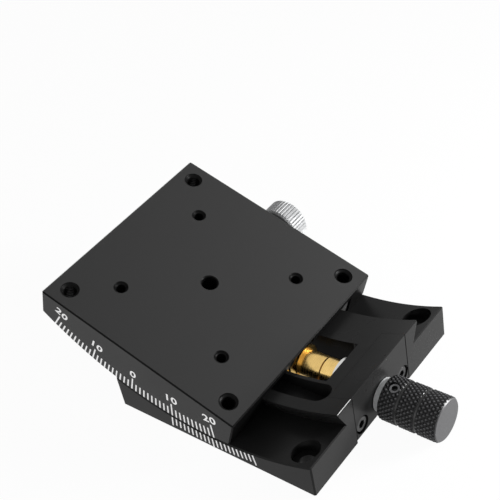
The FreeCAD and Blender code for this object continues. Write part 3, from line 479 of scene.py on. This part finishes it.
class KnobSettings(bpy.types.PropertyGroup):
    diamonds: IntProperty(
        name="Diamonds Around", description="Diamonds in one turn of the knurl", default=30, min=8)
    diamond_length: FloatProperty(
        name="Diamond Length", description="Length of a diamond along the knob", default=1.6 * MM,
        **LENGTH)
    depth: FloatProperty(
        name="Knurl Depth", description="Depth of the grooves between diamonds", default=0.32 * MM,
        **LENGTH)
    colour: FloatVectorProperty(
        name="Knob Colour", description="Black anodised knob", default=(0.006, 0.006, 0.0065),
        **COLOUR)


class LockSettings(bpy.types.PropertyGroup):
    flutes: IntProperty(
        name="Flutes", description="Flutes around the lock screw's head", default=42, min=12)
    depth: FloatProperty(
        name="Flute Depth", description="Depth of the flutes", default=0.3 * MM, **LENGTH)
    colour: FloatVectorProperty(
        name="Lock Screw Colour", description="Satin steel of the lock screw",
        default=(0.38, 0.384, 0.388), **COLOUR)


class BodySettings(bpy.types.PropertyGroup):
    # The base's colour is darker than the table's: partly a blacker, glossier anodising, partly
    # painted shade for its rail and lands
    black: FloatVectorProperty(
        name="Base Colour", description="Black anodised finish of the base",
        default=(0.014, 0.014, 0.014), **COLOUR)
    table: FloatVectorProperty(
        name="Table Colour", description="Black anodised finish of the table",
        default=(0.036, 0.036, 0.036), **COLOUR)
    brass: FloatVectorProperty(
        name="Brass Colour", description="Worm, collar and pad", default=(0.8, 0.55, 0.2), **COLOUR)
    steel: FloatVectorProperty(
        name="Steel Colour", description="Shaft and pins", default=(0.66, 0.66, 0.66), **COLOUR)


class StudioSettings(bpy.types.PropertyGroup):
    key: FloatProperty(
        name="Key Light", description="Power of the light on the right", default=1.05, **POWER)
    glint: FloatProperty(
        name="Glint", description="Power of the small light that catches the chamfers",
        default=0.22, **POWER)
    fill: FloatProperty(
        name="Fill Light", description="Power of the light in front", default=0.2, **POWER)
    focal_length: FloatProperty(
        name="Focal Length", description="Lens of the camera in millimetres", default=81.961,
        min=10.0)


class StageOperator(bpy.types.Operator):
    """What every step of the scene has in common"""
    bl_options = {"REGISTER"}


# Stage


class GONIO_OT_studio(StageOperator):
    """Make the floor, the world, the lamps and the camera"""
    bl_idname = "gonio.studio"
    bl_label = "Studio"

    def execute(self, context):
        scene = context.scene
        scene.view_settings.view_transform = "Standard"
        self.make_world(scene)
        self.make_floor()
        studio = scene.gonio_studio
        for name, (spot, target, size) in LAMPS.items():
            self.lamp(name, spot, target, size, getattr(studio, name))
        camera = bpy.data.objects.new("camera", bpy.data.cameras.new("camera"))
        scene.collection.objects.link(camera)
        camera.location = Vector(CAMERA_SPOT) * MM
        camera.rotation_euler = Euler(math.radians(turn) for turn in CAMERA_TURN)
        camera.data.lens = studio.focal_length
        camera.data.clip_start, camera.data.clip_end = CAMERA_RANGE
        scene.camera = camera
        return {"FINISHED"}

    def make_world(self, scene):
        world = bpy.data.worlds.new("studio")
        scene.world = world
        world.use_nodes = True
        graph = Graph(world.node_tree)
        seen = self.seen_directly(graph)
        dim, white = (graph.add("ShaderNodeBackground", {"Color": WHITE, "Strength": strength})
                      for strength in (WORLD_LIGHT, 1.0))
        mix = graph.add("ShaderNodeMixShader", {0: seen, 1: dim.outputs[0], 2: white.outputs[0]})
        graph.tree.links.new(mix.outputs[0], graph.tree.nodes["World Output"].inputs["Surface"])

    def seen_directly(self, graph):
        """One for rays from the camera, from gloss and from clear glass."""
        path = graph.add("ShaderNodeLightPath").outputs
        glossy = graph.math("MAXIMUM", path["Is Camera Ray"], path["Is Glossy Ray"])
        return graph.math("MAXIMUM", glossy, path["Is Transmission Ray"])

    def make_floor(self):
        corners = [(x * FLOOR_HALF, y * FLOOR_HALF, 0.0)
                   for x, y in ((-1, -1), (1, -1), (1, 1), (-1, 1))]
        finish = Finish("floor_paper", (0.92, 0.92, 0.92), 0.9, specular=0.1)
        glow = finish.add("ShaderNodeEmission", {"Color": WHITE, "Strength": 1.0})
        share = finish.math("MULTIPLY", self.seen_directly(finish), FLOOR_GLOW)
        mix = finish.add("ShaderNodeMixShader", {
            0: share, 1: finish.shader.outputs[0], 2: glow.outputs[0]})
        output = finish.tree.nodes["Material Output"]
        finish.tree.links.new(mix.outputs[0], output.inputs["Surface"])
        floor = mesh_object("floor", corners, [(0, 1, 2, 3)], finish.material)

    def lamp(self, name, spot, target, size, power):
        light = bpy.data.lights.new(name, "AREA")
        light.shape = "DISK"
        light.size = size * MM
        light.energy = power
        thing = bpy.data.objects.new(name, light)
        bpy.context.scene.collection.objects.link(thing)
        thing.location = Vector(spot) * MM
        aim = Vector(target) - Vector(spot)
        thing.rotation_euler = aim.to_track_quat("-Z", "Y").to_euler()


# Finishes of the solid parts


class GONIO_OT_bodies(StageOperator):
    """Finish the black anodised base, bearing block, table and gib"""
    bl_idname = "gonio.bodies"
    bl_label = "Anodised Bodies"

    def execute(self, context):
        settings = context.scene.gonio_bodies
        table = tuple(settings.table)
        paint_node("platform", table_finish("black_anodised_table", table, TABLE_HOLES))
        paint_node("clamp_gib", anodised("black_anodised_gib", table))
        base = base_finish("black_anodised_base", tuple(settings.black))
        for node in ("base", "bearing_block"):
            paint_node(node, base)
        return {"FINISHED"}


class GONIO_OT_drive(StageOperator):
    """Finish the brass worm, its shaft, collars, washers, bushes and pins"""
    bl_idname = "gonio.drive"
    bl_label = "Worm Drive"

    def execute(self, context):
        settings = context.scene.gonio_bodies
        brass = turned_metal("turned_brass", tuple(settings.brass), 0.27, depth=0.0000015)
        bronze = milled_metal("bronze", (0.55, 0.38, 0.2), 0.35)
        steel = turned_metal("turned_steel", tuple(settings.steel), 0.28)
        washer = turned_metal("washer_steel", (0.72, 0.72, 0.7), 0.34)
        clear = turned_metal("clear_anodised", (0.92, 0.93, 0.94), 0.45, metallic=0.35)
        for node in ("worm", "play_collar", "lock_pad"):
            paint_node(node, brass)
        for node in ("front_bush", "rear_bush", "worm_sector"):
            paint_node(node, bronze)
        for node in ("worm_shaft", "worm_pin", "stop_pin"):
            paint_node(node, steel)
        for node in ("front_thrust_washer", "rear_thrust_washer"):
            paint_node(node, washer)
        paint_node("knob_collar", clear)
        return {"FINISHED"}


class GONIO_OT_screws(StageOperator):
    """Finish the small screws"""
    bl_idname = "gonio.screws"
    bl_label = "Screws"

    def execute(self, context):
        steel = milled_metal("screw_steel", (0.5, 0.5, 0.51), 0.3)
        for node in ("play_collar_screw", "sector_screws", "gib_set_screws"):
            paint_node(node, steel)
        black = milled_metal("black_oxide", (0.035, 0.035, 0.036), 0.32, metallic=0.6)
        paint_node("bearing_block_screws", black)
        paint_node("knob_set_screw", self.set_screw_finish())
        return {"FINISHED"}

    def set_screw_finish(self):
        """Black oxide, with a painted highlight on the rim of the screw's end."""
        finish = Finish("worn_black_oxide", (0.004, 0.004, 0.004), 0.35, specular=0.2)
        spot = finish.parts(finish.place)
        turn = math.radians(SCREW_TURN)
        high = finish.math("SUBTRACT", spot["Z"], SHAFT_HEIGHT * MM)
        across = finish.math("ADD", finish.math("MULTIPLY", spot["Y"], math.cos(turn)),
                             finish.math("MULTIPLY", high, math.sin(turn)))
        beside = finish.math("SUBTRACT", spot["X"], SCREW_PLACE * MM)
        reach = finish.length(finish.vector(across, beside))
        # Painted highlight: the rim round the socket is painted light grey
        finish.vary_colour(finish.math("GREATER_THAN", reach, SCREW_RIM * MM), (0.24, 0.24, 0.25))
        return finish.bump(finish.noise(METAL_GRAIN), 0.000004, 0.4).material


# Scale marks


def tick_tree():
    """Ticks side by side on an arc below a centre, growing towards it or away from it."""
    shape = Shape("arc_ticks", {
        "Count": 2 * SCALE_HALF + 1, "First Angle": 0.0, "Step": 0.0, "Radius": 0.0, "Length": 0.0,
        "Long Length": 0.0, "Long Every": SCALE_LONG, "Long From": 0, "Width": 0.0,
        "Towards Centre": 1.0, "Centre Height": 0.0, "Face": 0.0, "Raise": 0.0})
    size = shape.inputs
    index = shape.add("GeometryNodeInputIndex").outputs[0]
    angle = shape.math("ADD", size["First Angle"], shape.math("MULTIPLY", index, size["Step"]))
    since = shape.math("SUBTRACT", index, size["Long From"])
    rest = shape.math("MODULO", since, size["Long Every"])
    is_long = shape.math("COMPARE", rest, 0.0, 0.01)
    extra = shape.math("SUBTRACT", size["Long Length"], size["Length"])
    length = shape.math("ADD", size["Length"], shape.math("MULTIPLY", is_long, extra))
    half = shape.math("MULTIPLY", shape.math("MULTIPLY", length, 0.5), size["Towards Centre"])
    radius = shape.math("SUBTRACT", size["Radius"], half)
    along = shape.math("MULTIPLY", radius, shape.math("SINE", angle))
    down = shape.math("MULTIPLY", radius, shape.math("COSINE", angle))
    face = shape.math("ADD", size["Face"], shape.math("MULTIPLY", size["Raise"], 0.5))
    middle = shape.vector(along, face, shape.math("SUBTRACT", size["Centre Height"], down))
    dots = shape.add("GeometryNodeMeshLine", {"Count": size["Count"], "Offset": (0.0, 0.0, 0.0)})
    placed = shape.add("GeometryNodeSetPosition", {"Geometry": dots.outputs[0], "Position": middle})
    bar = shape.add("GeometryNodeMeshCube", {"Size": (1.0, 1.0, 1.0)})
    scale = shape.vector(size["Width"], size["Raise"], length)
    turn = shape.vector(0.0, shape.math("MULTIPLY", angle, -1.0), 0.0)
    ticks = shape.add("GeometryNodeInstanceOnPoints", {
        "Points": placed.outputs[0], "Instance": bar.outputs[0], "Rotation": turn, "Scale": scale})
    return shape.close(ticks.outputs[0])


def number_mesh(text, angle, size, material):
    """A number upright on its arc below the rotation centre."""
    curve = bpy.data.curves.new("number", "FONT")
    curve.body = text
    curve.size = size / MM
    curve.align_x = "CENTER"
    curve.extrude = MARK_HEIGHT / 2
    curve.offset = NUMBER_WEIGHT
    curve.space_character = NUMBER_SPACING
    curve.resolution_u = 5
    words = bpy.data.objects.new("number", curve)
    bpy.context.scene.collection.objects.link(words)
    ready = words.evaluated_get(bpy.context.evaluated_depsgraph_get())
    mesh = bpy.data.meshes.new_from_object(ready)
    bpy.data.objects.remove(words)
    along = Vector((math.cos(angle), 0.0, math.sin(angle)))
    up = Vector((-math.sin(angle), 0.0, math.cos(angle)))
    out = Vector((0.0, -1.0, 0.0))
    foot = Vector((0.0, FRONT_FACE - MARK_HEIGHT / 2, CENTRE_HEIGHT)) - up * NUMBER_ARC
    turn = Matrix((along, up, out)).transposed().to_4x4()
    wider = Matrix.Scale(NUMBER_STRETCH, 4, (1.0, 0.0, 0.0))
    mesh.transform(Matrix.Scale(MM, 4) @ Matrix.Translation(foot) @ turn @ wider)
    mesh.materials.clear()
    mesh.materials.append(material)
    return mesh


class GONIO_OT_table_scale(StageOperator):
    """Mark the degree scale and its numbers on the table's front face"""
    bl_idname = "gonio.table_scale"
    bl_label = "Table Scale"

    def execute(self, context):
        settings = context.scene.gonio_scale
        paint = printed("mark_paint", tuple(settings.colour))
        ticks = tick_tree().mesh("table_scale_ticks", {
            "Count": 2 * SCALE_HALF + 1, "First Angle": math.radians(-SCALE_HALF - SHOWN_TILT),
            "Step": math.radians(1.0),
            "Radius": (TABLE_ARC - EDGE_CHAMFER) * MM, "Length": settings.tick_length,
            "Long Length": settings.long_tick, "Long Every": SCALE_LONG, "Long From": 0,
            "Width": settings.tick_width, "Towards Centre": 1.0,
            "Centre Height": CENTRE_HEIGHT * MM, "Face": FRONT_FACE * MM,
            "Raise": -MARK_HEIGHT * MM}, paint)
        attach(face_outwards(ticks), "table")
        work = bmesh.new()
        for degrees in range(-SCALE_HALF, SCALE_HALF + 1, SCALE_LONG):
            angle = math.radians(degrees - SHOWN_TILT)
            work.from_mesh(number_mesh(str(abs(degrees)), angle, settings.number_height, paint))
        numbers = bpy.data.meshes.new("table_scale_numbers")
        work.to_mesh(numbers)
        work.free()
        numbers.materials.append(paint)
        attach(plain_object("table_scale_numbers", numbers), "table")
        return {"FINISHED"}


class GONIO_OT_vernier(StageOperator):
    """Mark the vernier on the base's front face"""
    bl_idname = "gonio.vernier"
    bl_label = "Vernier"

    def execute(self, context):
        settings = context.scene.gonio_scale
        ticks = tick_tree().mesh("vernier_ticks", {
            "Count": 2 * VERNIER_HALF + 1, "First Angle": -VERNIER_HALF * settings.vernier_step,
            "Step": settings.vernier_step, "Radius": (LAND_ARC + EDGE_CHAMFER) * MM,
            "Length": VERNIER_TICK * MM, "Long Length": VERNIER_LONG * MM,
            "Long Every": VERNIER_HALF, "Long From": 0,
            "Width": settings.tick_width, "Towards Centre": -1.0,
            "Centre Height": CENTRE_HEIGHT * MM, "Face": FRONT_FACE * MM,
            "Raise": -MARK_HEIGHT * MM}, bpy.data.materials["mark_paint"])
        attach(face_outwards(ticks), "base")
        return {"FINISHED"}


# Knurls


def rolled_grid(shape, start, end, steps):
    """A grid to roll about an axis: its mesh, its angle round the axis and its place along it."""
    grid = shape.add("GeometryNodeMeshGrid", {
        "Size X": 2 * math.pi, "Size Y": 1.0, "Vertices X": KNURL_AROUND + 1,
        "Vertices Y": steps + 1})
    spot = shape.parts(shape.add("GeometryNodeInputPosition").outputs[0])
    share = shape.math("ADD", spot["Y"], 0.5)
    length = shape.math("SUBTRACT", end, start)
    along = shape.math("ADD", start, shape.math("MULTIPLY", share, length))
    return grid.outputs["Mesh"], spot["X"], along


def zigzag(shape, turns):
    """One at each whole turn, nothing halfway between two, and straight in between."""
    phase = shape.math("MULTIPLY", shape.math("FRACT", turns), 2.0)
    return shape.math("ABSOLUTE", shape.math("SUBTRACT", phase, 1.0))


def end_slope(shape, along, start, end):
    """How far the surface drops in the chamfers at both ends."""
    inwards = shape.math("MINIMUM", shape.math("SUBTRACT", along, start),
                         shape.math("SUBTRACT", end, along))
    return shape.math("MAXIMUM", shape.math("SUBTRACT", shape.inputs["Chamfer"], inwards), 0.0)


def merged(shape, geometry):
    """The geometry with the seam of its rolled grid closed."""
    return shape.add("GeometryNodeMergeByDistance",
                     {"Geometry": geometry, "Distance": MERGE}).outputs[0]


def seat_drop(shape, theta, along, radius):
    """How far the surface drops at the seat of the set screw, where it is near the screw's axis."""
    size = shape.inputs
    beside = shape.math("SUBTRACT", along, size["Screw Place"])
    turn = shape.math("SUBTRACT", theta, size["Screw Turn"])
    across = shape.math("MULTIPLY", size["Radius"], shape.math("SINE", turn))
    reach = shape.math("SQRT", shape.math("ADD", shape.math("MULTIPLY", beside, beside),
                                          shape.math("MULTIPLY", across, across)))
    near = shape.math("LESS_THAN", reach, size["Screw Radius"])
    front = shape.math("GREATER_THAN", shape.math("COSINE", turn), 0.0)
    flat = shape.math("MULTIPLY", size["Radius"], SEAT_SHARE)
    return shape.math("MULTIPLY", shape.math("MULTIPLY", near, front),
                      shape.math("SUBTRACT", radius, flat))


def diamond_knurl_tree(bands):
    """Bands of diamond knurl about the worm shaft, each closed round the knob."""
    sizes = {"Radius": 0.0, "Depth": 0.0, "Diamonds": 30, "Diamond Length": 0.0, "Chamfer": 0.0,
             "Axis Height": 0.0, "Screw Place": 0.0, "Screw Turn": 0.0, "Screw Radius": 0.0}
    for band in range(bands):
        sizes.update({f"Start {band}": 0.0, f"End {band}": 0.0})
    shape = Shape("diamond_knurl", sizes)
    size = shape.inputs
    joined = shape.add("GeometryNodeJoinGeometry")
    for band in range(bands):
        start, end = size[f"Start {band}"], size[f"End {band}"]
        mesh, theta, along = rolled_grid(shape, start, end, KNOB_ALONG)
        rows = shape.math("DIVIDE", along, size["Diamond Length"])
        turns = shape.math("MULTIPLY", theta, shape.math("DIVIDE", size["Diamonds"], 2 * math.pi))
        ridges = [shape.math("SUBTRACT", 1.0, zigzag(shape, shape.math(operation, turns, rows)))
                  for operation in ("ADD", "SUBTRACT")]
        peak = shape.math("MULTIPLY", shape.math("MINIMUM", *ridges), KNURL_SHARPNESS, clamp=True)
        groove = shape.math("MULTIPLY", shape.math("SUBTRACT", 1.0, peak), size["Depth"])
        deep = shape.math("MAXIMUM", groove, end_slope(shape, along, start, end))
        radius = shape.math("SUBTRACT", size["Radius"], deep)
        radius = shape.math("SUBTRACT", radius, seat_drop(shape, theta, along, radius))
        across = shape.math("MULTIPLY", shape.math("MULTIPLY", radius, -1.0),
                            shape.math("SINE", theta))
        high = shape.math("ADD", size["Axis Height"],
                          shape.math("MULTIPLY", radius, shape.math("COSINE", theta)))
        placed = shape.add("GeometryNodeSetPosition", {
            "Geometry": mesh, "Position": shape.vector(along, across, high)})
        shape.tree.links.new(placed.outputs[0], joined.inputs[0])
    return shape.close(merged(shape, joined.outputs[0]))


def straight_knurl_tree():
    """A straight knurl about local X, closed round the head and open at both ends."""
    shape = Shape("straight_knurl", {"Radius": 0.0, "Depth": 0.0, "Flutes": 42, "Start": 0.0,
                                     "End": 0.0, "Chamfer": 0.0})
    size = shape.inputs
    mesh, theta, along = rolled_grid(shape, size["Start"], size["End"], LOCK_ALONG)
    turns = shape.math("MULTIPLY", theta, shape.math("DIVIDE", size["Flutes"], 2 * math.pi))
    groove = shape.math("MULTIPLY", shape.math("SUBTRACT", zigzag(shape, turns), 0.5), 2.0,
                        clamp=True)
    slope = end_slope(shape, along, size["Start"], size["End"])
    deep = shape.math("MAXIMUM", shape.math("MULTIPLY", groove, size["Depth"]), slope)
    radius = shape.math("SUBTRACT", size["Radius"], deep)
    place = shape.vector(along, shape.math("MULTIPLY", radius, shape.math("COSINE", theta)),
                         shape.math("MULTIPLY", radius, shape.math("SINE", theta)))
    placed = shape.add("GeometryNodeSetPosition", {"Geometry": mesh, "Position": place})
    return shape.close(merged(shape, placed.outputs[0]))


# Knob


class GONIO_OT_knob(StageOperator):
    """Make the knurled knob in place of its plain solid"""
    bl_idname = "gonio.knob"
    bl_label = "Knob"

    def execute(self, context):
        settings = context.scene.gonio_knob
        black = self.knob_finish(tuple(settings.colour))
        start, end = KNOB_ENDS
        cuts = [start] + [cut for groove in KNOB_GROOVES
                          for cut in (groove - KNOB_GROOVE_HALF, groove + KNOB_GROOVE_HALF)] + [end]
        bands = list(zip(cuts[::2], cuts[1::2]))
        bands[-1] = (bands[-1][0], end - KNOB_FACE)
        sizes = {"Radius": KNOB_RADIUS * MM, "Depth": settings.depth, "Diamonds": settings.diamonds,
                 "Diamond Length": settings.diamond_length, "Chamfer": KNOB_CHAMFER * MM,
                 "Axis Height": SHAFT_HEIGHT * MM, "Screw Place": SCREW_PLACE * MM,
                 "Screw Turn": math.radians(SCREW_TURN), "Screw Radius": SEAT_RADIUS * MM}
        for band, (low, high) in enumerate(bands):
            sizes[f"Start {band}"], sizes[f"End {band}"] = low * MM, high * MM
        knurl = diamond_knurl_tree(len(bands)).mesh("knob_knurl", sizes, black)
        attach(face_outwards(knurl), "worm_drive")
        rim, inner = KNOB_RADIUS - KNOB_CHAMFER, KNOB_RADIUS - CORE_DEPTH
        waist = KNOB_RADIUS * SEAT_SHARE - CORE_GAP
        foot, waist_start = start + CORE_INSET, start + KNOB_CHAMFER
        waist_end = KNOB_GROOVES[0] - WAIST_INSET
        profile = [(foot, KNOB_BORE), (foot, rim), (start + CORE_SLOPE, inner),
                   (waist_start, inner), (waist_start, waist), (waist_end, waist),
                   (waist_end, inner), (end - KNOB_CHAMFER, inner), (end - KNOB_FACE, rim),
                   (end, KNOB_RADIUS - KNOB_FACE_EDGE), (end, 0.0)]
        core = lathe("knob_core", profile, self.face_finish(), shaft_place())
        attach(core, "worm_drive")
        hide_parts("knob")
        return {"FINISHED"}

    def knob_finish(self, colour):
        """Black anodised, with a painted highlight that makes the tops of the diamonds a little
        brighter.
        """
        finish = Finish("black_knurl", colour, 0.3, specular=0.25)
        # Painted highlight: the outermost skin of the knurl, the tops of the diamonds, is painted
        # lighter grey
        high = finish.add("ShaderNodeMapRange", {
            "Value": finish.parts(finish.around_shaft())["Y"],
            "From Min": (KNOB_RADIUS - KNOB_TIP_HIGHLIGHT) * MM, "From Max": KNOB_RADIUS * MM})
        finish.vary_colour(high.outputs[0], (0.1, 0.1, 0.104))
        return finish.bump(finish.noise(FINE_GRAIN, 2.0), 0.000006, 0.3).material

    def face_finish(self):
        """Black in the grooves, and a turned end face, dark grey with fine rings."""
        finish = Finish("knob_face", (0.003, 0.003, 0.003), 0.4, metallic=0.2)
        face = (KNOB_ENDS[1] - KNOB_FACE - SKIN) * MM
        at_face = finish.math("GREATER_THAN", finish.parts(finish.place)["X"], face)
        finish.vary_colour(at_face, (0.05, 0.05, 0.052))
        rings = finish.noise(FINE_GRAIN, place=finish.around_shaft())
        finish.vary_roughness(rings, 0.08)
        return finish.bump(rings, 0.000004, 0.5).material


# Lock screw


class GONIO_OT_lock_screw(StageOperator):
    """Make the lock screw's knurled head in place of its plain solid"""
    bl_idname = "gonio.lock_screw"
    bl_label = "Lock Screw"

    def execute(self, context):
        settings = context.scene.gonio_lock
        steel = milled_metal("lock_steel", tuple(settings.colour), 0.55, metallic=0.25)
        shank, neck, rim = LOCK_RADII
        foot, start, end = LOCK_HEAD
        knurl = straight_knurl_tree().mesh("lock_screw_knurl", {
            "Radius": rim * MM, "Depth": settings.depth, "Flutes": settings.flutes,
            "Start": start * MM, "End": end * MM, "Chamfer": LOCK_CHAMFER * MM}, steel)
        place = lock_place()
        knurl.data.transform(Matrix.Scale(MM, 4) @ place @ Matrix.Scale(1.0 / MM, 4))
        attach(face_outwards(knurl), "lock_screw")
        slope, step = LOCK_CORE_EDGE
        inner = rim - LOCK_CORE_DEPTH
        profile = [(LOCK_TIP, 0.0), (LOCK_TIP, shank - LOCK_TIP_BREAK),
                   (LOCK_TIP + LOCK_TIP_BREAK, shank), (foot, shank), (foot, neck), (start, neck),
                   (start, inner - step), (start + slope, inner), (end - slope, inner),
                   (end, inner - step), (end, 0.0)]
        core = lathe("lock_screw_core", profile, steel, place)
        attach(core, "lock_screw")
        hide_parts("lock_screw")
        return {"FINISHED"}


# Panel and registration


class GONIO_PT_panel(bpy.types.Panel):
    """Settings and steps of the goniometer stage"""
    bl_label = "Goniometer"
    bl_idname = "GONIO_PT_panel"
    bl_space_type = "VIEW_3D"
    bl_region_type = "UI"
    bl_category = "Goniometer"

    def draw(self, context):
        for name in SETTINGS:
            settings = getattr(context.scene, name)
            box = self.layout.box()
            for prop in settings.__annotations__:
                box.prop(settings, prop)
        for operator in OPERATORS:
            self.layout.operator(operator.bl_idname)


SETTINGS = {"gonio_bodies": BodySettings, "gonio_scale": ScaleSettings,
            "gonio_knob": KnobSettings, "gonio_lock": LockSettings, "gonio_studio": StudioSettings}
OPERATORS = [GONIO_OT_studio, GONIO_OT_bodies, GONIO_OT_drive, GONIO_OT_screws,
             GONIO_OT_table_scale, GONIO_OT_vernier, GONIO_OT_knob, GONIO_OT_lock_screw]


def register():
    for name, settings in SETTINGS.items():
        bpy.utils.register_class(settings)
        setattr(bpy.types.Scene, name, PointerProperty(type=settings))
    for operator in OPERATORS:
        bpy.utils.register_class(operator)
    bpy.utils.register_class(GONIO_PT_panel)


def unregister():
    bpy.utils.unregister_class(GONIO_PT_panel)
    for operator in reversed(OPERATORS):
        bpy.utils.unregister_class(operator)
    for name, settings in reversed(SETTINGS.items()):
        delattr(bpy.types.Scene, name)
        bpy.utils.unregister_class(settings)


def main():
    register()
    for operator in OPERATORS:
        group, step = operator.bl_idname.split(".")
        getattr(getattr(bpy.ops, group), step)()


if __name__ == "__main__":
    main()
